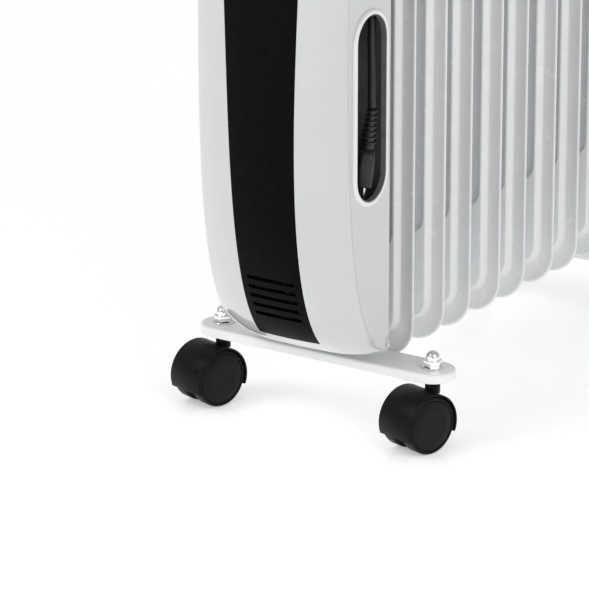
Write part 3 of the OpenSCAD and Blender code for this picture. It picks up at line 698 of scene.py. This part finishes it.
def cover_point(i, a):
    """The point in column i: sides first, counted out from the middle, then the rounded edge."""
    side = 1 if i >= MIDDLE_COLUMN else -1
    k = abs(i - MIDDLE_COLUMN)
    inner = band_half(skin(0, a).z)
    if k == 0:
        return skin(0, a)
    if k <= SIDE_COLUMNS:
        share = (k - 1) / (SIDE_COLUMNS - 1)
        return skin(side * (inner + (HALF_W - EDGE_R - inner) * share), a)
    t = (k - SIDE_COLUMNS) / EDGE_COLUMNS
    start, corner = skin(side * (HALF_W - EDGE_R), a), skin(side * HALF_W, a)
    end = corner + Vector((0, EDGE_BACK, 0))
    end.y = min(end.y, BACK_Y)
    return (1 - t) ** 2 * start + 2 * t * (1 - t) * corner + t * t * end


def front_cover():
    foot = angle_at(BAND_LOW)
    rows = curve_rows([foot])
    bm, places = mapped_grid(2 * MIDDLE_COLUMN, rows, cover_point)

    def under_band(i, j):
        return MIDDLE_COLUMN - 1 <= i <= MIDDLE_COLUMN and rows[j] >= foot - 1e-9

    cut_cells(bm, places, under_band)
    give_wall(bm, SHEET)
    return finish_piece(
        "moulded_cover", bm, shell_white, ("front_cover",), sharp=40)


cover_piece = front_cover()
print("cover", len(cover_piece.data.polygons))

# %% [markdown]
# The band lies flush with the cover, with a hairline between them. Five vent slots near its foot let
# air past the wiring. Its rows include the vents' edges and the panel's corners, so that both are
# clean cuts with a visible wall.

# %% Black band
BAND_MIDDLE, INNER_COLUMNS, OUTER_COLUMNS = 12, 8, 4
VENT_HALF, VENT_RISE = 21.5 * MM, 1.7 * MM
VENTS = [BAND_LOW + (22 + 8 * n) * MM for n in range(5)]
PANEL_CORNER_STEPS = (0, 20, 38, 54, 68, 80)


def centre_band():
    foot = angle_at(BAND_LOW + BAND_GAP)
    vents = [angle_at(z + side * VENT_RISE) for z in VENTS for side in (-1, 1)]
    panel = [panel_row(PANEL_TALL * side) for side in (-1, 1)]
    corners = [panel_row(side * (PANEL_TALL - PANEL_R * (1 - math.sin(math.radians(k)))))
               for side in (-1, 1) for k in PANEL_CORNER_STEPS]
    rows = curve_rows([foot] + vents + panel + corners, low=math.degrees(foot))
    vent_top, panel_low, panel_high = max(vents), min(panel), max(panel)

    def band_point(i, a):
        k = i - BAND_MIDDLE
        side = 1 if k > 0 else -1
        key = VENT_HALF
        if a > vent_top:
            rise = min(1, (a - vent_top) / (panel_low - vent_top))
            key += (PANEL_HALF - PANEL_R - VENT_HALF) * rise
        if panel_low <= a <= panel_high:
            key = panel_half(a)
        edge = band_half(skin(0, a).z) - BAND_GAP
        if abs(k) <= INNER_COLUMNS:
            return skin(side * key * abs(k) / INNER_COLUMNS, a)
        return skin(side * (key + (edge - key) * (abs(k) - INNER_COLUMNS) / OUTER_COLUMNS), a)

    bm, places = mapped_grid(2 * BAND_MIDDLE, rows, band_point)

    def open_cell(i, j):
        if not OUTER_COLUMNS <= i < OUTER_COLUMNS + 2 * INNER_COLUMNS:
            return False
        middle = (rows[j] + rows[j + 1]) / 2
        in_vent = any(abs(skin(0, middle).z - z) < VENT_RISE for z in VENTS)
        return in_vent or panel_low < middle < panel_high

    cut_cells(bm, places, open_cell)
    give_wall(bm, SHEET)
    return finish_piece(
        "vented_band", bm, band_black, ("centre_band",), sharp=40)


band_piece = centre_band()
print("band", len(band_piece.data.polygons))

# %% [markdown]
# The side walls close the housing between the cover's edge and the back plate. They are flat, so an
# outline that follows the cover's edge is filled and extruded inwards, which is simpler than cutting
# a block. The wall on the right is filled round the tall opening of the lead's compartment.

# %% Side walls
SLOT_Y, SLOT_Z = -64.5 * MM, 277.1 * MM
WALL_SLOT_W, WALL_SLOT_H = 43 * MM, 149 * MM
SEAM = 0.3 * MM
REAR_STEPS = 8


def pill(w, h, steps=16):
    points = []
    for end in (1, -1):
        for k in range(steps + 1):
            a = math.pi * k / steps + (0 if end > 0 else math.pi)
            points.append((w / 2 * math.cos(a), end * (h - w) / 2 + w / 2 * math.sin(a)))
    return points


def side_wall(bm, side, opening):
    x = side * HALF_W
    rows = [a for a in curve_rows([]) if abs(a) < math.radians(89)]
    seam = []
    for a in rows:
        p = skin(x, a)
        y = p.y + EDGE_BACK + SEAM
        if y < BACK_Y - 3 * MM:
            seam.append((x, y, p.z))
    rear = []
    for end in (1, -1):
        low_y = seam[-1][1] if end > 0 else seam[0][1]
        arc = []
        for k in range(REAR_STEPS + 1):
            t = math.radians(90 * k / REAR_STEPS)
            y = BACK_Y - CORNER_R + CORNER_R * math.sin(t)
            if y > low_y + 1 * MM:
                z = HOUSE_H / 2 - CORNER_R + CORNER_R * math.cos(t)
                arc.append((x, y, HOUSE_MID + end * z))
        rear += arc if end > 0 else arc[::-1]
    edges = outline(bm, seam + rear)[1]
    if opening:
        hole = [(x, FIRST_Y + SLOT_Y + y, SLOT_Z + z) for y, z in pill(WALL_SLOT_W, WALL_SLOT_H)]
        edges += outline(bm, hole)[1]
    bmesh.ops.triangle_fill(bm, use_beauty=True, use_dissolve=False, edges=edges)
    grown = bmesh.ops.extrude_face_region(bm, geom=bm.faces[:])
    moved = [v for v in grown["geom"] if isinstance(v, bmesh.types.BMVert)]
    bmesh.ops.translate(bm, vec=(-side * SHEET, 0, 0), verts=moved)


def side_shell():
    bm = bmesh.new()
    side_wall(bm, 1, True)
    left = bmesh.new()
    side_wall(left, -1, False)
    join_parts(bm, left)
    return finish_piece("side_walls", bm, shell_white, ("side_shell",), sharp=30)


side_piece = side_shell()
print("side walls", len(side_piece.data.polygons))

# %% [markdown]
# A rounded bead frames the opening, and the dark mouth of the compartment comes up inside it. A
# bevelled curve would give an even bead only, so its cross-section is listed as steps outwards and
# upwards, in millimetres, and lofted round the opening. The innermost steps take the darker finish.

# %% Rim of the opening
SLOT_W, SLOT_H = 39, 145
MOUTH_FROM = 7


def slot_rim():
    bm = bmesh.new()
    section = [
        (4.5, -0.2), (4.5, 0.6), (4.2, 1.5), (3.6, 2.2), (2.8, 2.5), (1.6, 2.5), (0.9, 2.35), (0.7, 2.0),
        (0.0, 1.9), (0.0, -2.5),
    ]
    rings = [
        [(HALF_W + rise * MM, FIRST_Y + SLOT_Y + y, SLOT_Z + z)
         for y, z in pill((SLOT_W + 2 * out) * MM, (SLOT_H + 2 * out) * MM)]
        for out, rise in section
    ]
    made = loft(bm, rings, caps=False)
    mouth = {v for ring in made[MOUTH_FROM:] for v in ring}
    for face in bm.faces:
        if mouth.issuperset(face.verts):
            face.material_index = 1
    piece = finish_piece("slot_bead", bm, rim_white, ("slot_rim",), sharp=50)
    piece.data.materials.append(tub_grey)
    return piece


rim_piece = slot_rim()
print("rim", len(rim_piece.data.polygons))

# %% [markdown]
# ## Feet
# A foot plate is a pressed steel channel with round ends that spans the two casters. A bevelled box
# would lose the hollow underneath, so rings run down the inner wall, round the lower edge, up the
# outer wall and over the rounded shoulder. Each step is an inset and a height.

# %% Foot plates
STEM_X = 98 * MM
PLATE_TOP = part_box("front_foot_plate")[1].z


def stadium(length, radius, steps=20):
    points = []
    for side in (1, -1):
        for k in range(steps + 1):
            a = -math.pi / 2 + math.pi * k / steps
            points.append((side * (length / 2 + radius * math.cos(a)), side * radius * math.sin(a)))
    return points


def foot_plate(name):
    low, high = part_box(name)
    middle, radius = (low.y + high.y) / 2, (high.y - low.y) / 2
    section = [
        (1.6, high.z - 1.8 * MM), (1.6, low.z + 0.2 * MM), (1.3, low.z), (0.3, low.z),
        (0, low.z + 0.3 * MM), (0, high.z - 2.2 * MM), (0.25, high.z - 1.2 * MM),
        (0.8, high.z - 0.5 * MM), (1.6, high.z - 0.1 * MM), (2.4, high.z),
    ]
    bm = bmesh.new()
    loft(bm, [
        [(x, middle + y, z) for x, y in stadium(2 * STEM_X, radius - inset * MM)] for inset, z in section
    ])
    return finish_piece("pressed_" + name, bm, plate_enamel, (name,), sharp=40)


plates = [foot_plate(name) for name in ("front_foot_plate", "rear_foot_plate")]
print("plates", len(plates), "top at", round(PLATE_TOP, 4))

# %% [markdown]
# An acorn nut on each caster stem holds the plate. It is a washer, a hexagon with chamfered ends and
# a dome. The hexagon is lofted and the round parts are spun, because each way gives clean faces
# where the other wouldn't. Sizes are in millimetres.

# %% Acorn nuts
HEXAGON = [(6.6, 1.4), (7.4, 1.8), (7.5, 2.1), (7.5, 6.0), (7.3, 6.5), (6.4, 6.8)]
DOME_R, DOME_Z = 5.5, 8.4


def hexagon(across, z):
    corners = [math.radians(60 * k) for k in range(6)]
    return [(across * MM * math.cos(a), across * MM * math.sin(a), z * MM) for a in corners]


def acorn_nut(x, y, turn):
    bm = bmesh.new()
    lathe(bm, [(3 * MM, 0, 0), (8.2 * MM, 0, 0), (8.5 * MM, 0, 0.3 * MM), (8.5 * MM, 0, 1.1 * MM),
               (8.2 * MM, 0, 1.4 * MM), (3 * MM, 0, 1.4 * MM)], steps=48)
    loft(bm, [hexagon(across, z) for across, z in HEXAGON])
    dome = [(5.2, 6.6), (DOME_R, 6.9), (DOME_R, DOME_Z)]
    for degrees in range(10, 90, 10):
        a = math.radians(degrees)
        dome.append((DOME_R * math.cos(a), DOME_Z + DOME_R * math.sin(a)))
    dome.append((0, DOME_Z + DOME_R))
    lathe(bm, [(rad * MM, 0, z * MM) for rad, z in dome], steps=48)
    bmesh.ops.transform(
        bm, matrix=Matrix.Translation((x, y, PLATE_TOP)) @ Matrix.Rotation(turn, 4, "Z"), verts=bm.verts)
    return bm


nuts = bmesh.new()
for k, name in enumerate(("front_foot_plate", "rear_foot_plate")):
    plate_low, plate_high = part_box(name)
    for side in (-1, 1):
        join_parts(nuts, acorn_nut(side * STEM_X, (plate_low.y + plate_high.y) / 2, 0.3 + 0.5 * side + k))
nut_piece = finish_piece("acorn_nut_set", nuts, chrome, ("acorn_nuts",), sharp=28)
print("nut faces", len(nut_piece.data.polygons))

# %% [markdown]
# Each caster has two nylon wheels with a rounded tread, a raised rim and a shallow face. A bevelled
# cylinder wouldn't show the rim, so one profile is spun for each wheel and the pair is turned to the
# way its caster points at rest. Radii and widths are in millimetres.

# %% Wheels
WHEEL_R, WHEEL_W, WEB, WHEEL_GAP = 23.0, 11.6, 9.5, 0.4
FRONT_TURN, REAR_TURN = -15.9, 164.1
CASTERS = {
    "front_left": FRONT_TURN, "front_right": FRONT_TURN, "rear_left": REAR_TURN, "rear_right": REAR_TURN,
}


def wheel_pair(where):
    low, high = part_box("wheels_" + where)
    bm = bmesh.new()
    inner = WEB / 2 + WHEEL_GAP
    outer = inner + WHEEL_W
    tread = [
        (2.6, inner), (WHEEL_R - 1.2, inner), (WHEEL_R - 0.4, inner + 0.3), (WHEEL_R, inner + 1.2),
        (WHEEL_R, outer - 1.6), (WHEEL_R - 0.3, outer - 0.6), (WHEEL_R - 1.1, outer),
    ]
    rim = [
        (WHEEL_R - 2.1, outer), (WHEEL_R - 2.4, outer - 0.3), (WHEEL_R - 2.6, outer - 0.8),
        (WHEEL_R - 2.9, outer - 0.8), (WHEEL_R - 3.2, outer - 0.3), (WHEEL_R - 3.6, outer - 0.05),
    ]
    face = [(12, outer - 0.2), (0, outer - 0.3)]
    for side in (-1, 1):
        half = bmesh.new()
        profile = [(side * w * MM, 0, rad * MM) for rad, w in tread + rim + face]
        lathe(half, profile, steps=72, axis=(1, 0, 0))
        join_parts(bm, half)
    turn = Matrix.Rotation(math.radians(CASTERS[where]), 4, "Z")
    middle = Matrix.Translation((low + high) / 2)
    bmesh.ops.transform(bm, matrix=middle @ turn, verts=bm.verts)
    return finish_piece("twin_wheels_" + where, bm, tread_nylon, ("wheels_" + where,),
                        body="wheel_" + where, sharp=35)


wheel_sets = {where: wheel_pair(where) for where in CASTERS}
print("wheel faces", len(wheel_sets["front_left"].data.polygons))

# %% [markdown]
# The hoods and the other moulded parts already have their full shape in the CAD mesh, so modelling
# them again would only risk a misfit. What they lack is the small round that every mould leaves on
# an edge. `soften` merges a copy of the mesh, joins its flat triangles and bevels the sharp edges.

# %% Softened parts
SOFT_ANGLE = 38


def soften(node, width, material, slot, body="root"):
    bpy.context.view_layer.update()
    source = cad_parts[node]
    bm = bmesh.new()
    bm.from_mesh(source.data)
    bmesh.ops.transform(bm, matrix=source.matrix_world, verts=bm.verts)
    bmesh.ops.remove_doubles(bm, verts=bm.verts, dist=1e-6)
    bmesh.ops.dissolve_limit(
        bm, angle_limit=math.radians(1), use_dissolve_boundaries=False, verts=bm.verts, edges=bm.edges)
    edges = [e for e in bm.edges
             if len(e.link_faces) == 2 and e.calc_face_angle() > math.radians(SOFT_ANGLE)]
    bmesh.ops.bevel(bm, geom=edges, offset=width * MM, segments=2, profile=0.5, affect="EDGES",
                    clamp_overlap=True)
    for face in bm.faces:
        face.material_index = 0
    return finish_piece("soft_" + node, bm, material, (node,), body=body, sharp=SOFT_ANGLE)


SOFTENED = [
    ("hood_" + where, 0.5, caster_nylon, "caster_black", "caster_" + where) for where in CASTERS
] + [
    ("carry_handle", 2.2, handle_black, "handle_black"),
    ("control_panel", 0.5, band_black, "satin_black_band"),
    ("rocker_left", 0.6, rocker_red, "rocker_red", "rocker_left"),
    ("rocker_right", 0.6, rocker_red, "rocker_red", "rocker_right"),
    ("pilot_lamp", 0.3, lamp_amber, "lamp_amber"),
    ("terminal_block", 0.6, inner_cream, "inner_plastic"),
    ("thermostat_body", 0.8, inner_cream, "inner_plastic"),
    ("tilt_switch", 0.8, inner_cream, "inner_plastic"),
    ("thermal_cutout", 0.4, inner_cream, "inner_plastic"),
    ("cord_gland", 0.4, lead_black, "lead_black"),
]
soft_pieces = [soften(*row) for row in SOFTENED]
print("softened", len(soft_pieces))

# %% [markdown]
# The thermostat knob has two finger flats and a white pointer, and a ring of printed marks lies round
# it on the panel. The marks could be painted in a material, but as thin raised bars they stay crisp
# from close by. They ride on the housing, and the pointer turns with the knob.

# %% Knob, pointer and dial marks
PANEL_MIDDLE = Vector((0, skin(0, angle_at(PANEL_Z)).y + PANEL_DEPTH, PANEL_Z))
PANEL_FACE = Matrix.Translation(PANEL_MIDDLE) @ Matrix.Rotation(-PANEL_TILT, 4, "X")
KNOB_UP = 26 * MM
KNOB_FACE = -16
DIAL_START, DIAL_STEP, DIAL_MARKS = -135, 45, 7


def mark(bm, size, where, turn):
    bar = bmesh.ops.create_cube(bm, size=1)["verts"]
    bmesh.ops.scale(bm, vec=[v * MM for v in size], verts=bar)
    spot = Matrix.Rotation(turn, 4, "Y") @ Matrix.Translation([v * MM for v in where])
    bmesh.ops.transform(
        bm, matrix=PANEL_FACE @ Matrix.Translation((0, 0, KNOB_UP)) @ spot, verts=bar)


def dial_marks():
    bm = bmesh.new()
    for k in range(DIAL_MARKS):
        turn = math.radians(DIAL_START + DIAL_STEP * k)
        mark(bm, (0.9, 0.16, 3 if k % 2 else 4.4), (0, -0.05, 25.4), turn)
    return finish_piece("dial_marks", bm, mark_white)


def knob_pointer():
    bm = bmesh.new()
    mark(bm, (1.6, 0.3, 11), (0, KNOB_FACE + 0.13, 13), math.radians(DIAL_START))
    return finish_piece("knob_pointer", bm, mark_white, body="knob")


knob_piece = soften("thermostat_knob", 0.9, knob_grey, "knob_grey", "knob")
marks_piece = dial_marks()
pointer_piece = knob_pointer()
print("knob faces", len(knob_piece.data.polygons), marks_piece.name, pointer_piece.name)

# %% [markdown]
# Hubs, screws, stems, wiring and the back plate are small or hidden, and their CAD mesh is already
# right. They keep it, and only swap their plain colour for the same kind of finish as the rest.

# %% Finishes for the parts that keep their mesh
KEPT = {
    fin_enamel: ["hub_collars"],
    zinc: ["hub_end_caps", "filler_plug", "housing_screws", "handle_screws", "u_bolts", "wing_nuts",
           "caster_stems"] + ["axle_" + where for where in CASTERS],
    galvanised: ["housing_back", "housing_brackets"],
    sheath_steel: ["heating_element"],
    flange_brass: ["element_flange"],
    tub_grey: ["cord_tub"],
    lead_black: ["cord_tie"],
    wire_brown: ["wiring"],
}
for material, names in KEPT.items():
    for name in names:
        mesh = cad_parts[name].data
        mesh.materials.clear()
        mesh.materials.append(material)
print("kept", sum(len(names) for names in KEPT.values()))

# %% [markdown]
# ## Studio
# The heater stands on seamless white paper. A shadow catcher would leave no reflection under the
# wheels, so the floor is a large plane that mixes a little gloss into matt white, and a weak glow
# brings it up to the white of its surroundings.

# %% Floor
FLOOR_SIZE = 12
FLOOR_GLOSS = 0.1
FLOOR_GLOW = 0.37


def studio_floor():
    bm = bmesh.new()
    bmesh.ops.create_grid(bm, x_segments=1, y_segments=1, size=FLOOR_SIZE)
    mesh = bpy.data.meshes.new("studio_floor")
    bm.to_mesh(mesh)
    bm.free()
    floor = bpy.data.objects.new("studio_floor", mesh)
    bpy.context.scene.collection.objects.link(floor)
    material = bpy.data.materials.new("floor_white")
    material.use_nodes = True
    nodes, links = material.node_tree.nodes, material.node_tree.links
    nodes.clear()
    matt = nodes.new("ShaderNodeBsdfDiffuse")
    matt.inputs["Color"].default_value = (0.97, 0.97, 0.97, 1)
    shine = nodes.new("ShaderNodeBsdfGlossy")
    shine.inputs["Color"].default_value = (1, 1, 1, 1)
    shine.inputs["Roughness"].default_value = 0.12
    both = nodes.new("ShaderNodeMixShader")
    both.inputs["Fac"].default_value = FLOOR_GLOSS
    glow = nodes.new("ShaderNodeEmission")
    glow.inputs["Strength"].default_value = FLOOR_GLOW
    lit = nodes.new("ShaderNodeAddShader")
    out = nodes.new("ShaderNodeOutputMaterial")
    links.new(matt.outputs[0], both.inputs[1])
    links.new(shine.outputs[0], both.inputs[2])
    links.new(both.outputs[0], lit.inputs[0])
    links.new(glow.outputs[0], lit.inputs[1])
    links.new(lit.outputs[0], out.inputs["Surface"])
    mesh.materials.append(material)


studio_floor()
print("floor", 2 * FLOOR_SIZE, "m wide")

# %% [markdown]
# A pale, even sky gives soft light from all round. Three large lamps shape it: the key from the
# front left models the cover, a low one lifts the foot of the front, and the fill on the right
# lights the fins. Area lamps are used because a small source would throw hard shadows on the floor.

# %% Sky and lamps
def soft_lamp(name, where, aim, size, power):
    data = bpy.data.lights.new(name, "AREA")
    data.shape = "RECTANGLE"
    data.size, data.size_y = size
    data.energy = power
    lamp = bpy.data.objects.new(name, data)
    lamp.location = where
    lamp.rotation_euler = (Vector(aim) - Vector(where)).to_track_quat("-Z", "Y").to_euler()
    bpy.context.scene.collection.objects.link(lamp)


def pale_sky(strength):
    world = bpy.data.worlds.new("pale_sky")
    world.use_nodes = True
    sky = world.node_tree.nodes["Background"]
    sky.inputs["Color"].default_value = (1, 1, 1, 1)
    sky.inputs["Strength"].default_value = strength
    bpy.context.scene.world = world


pale_sky(0.50)
soft_lamp("key", (-1.6, -2.2, 2.6), (0, 0, 0.2), (1.8, 1.8), 34)
soft_lamp("low_front", (-0.4, -2.4, 0.25), (0, -0.2, 0.1), (2.0, 0.4), 4)
soft_lamp("fill", (2.4, -1.0, 1.6), (0, 0, 0.2), (1.4, 1.8), 20)
print("lamps", len(bpy.data.lights))
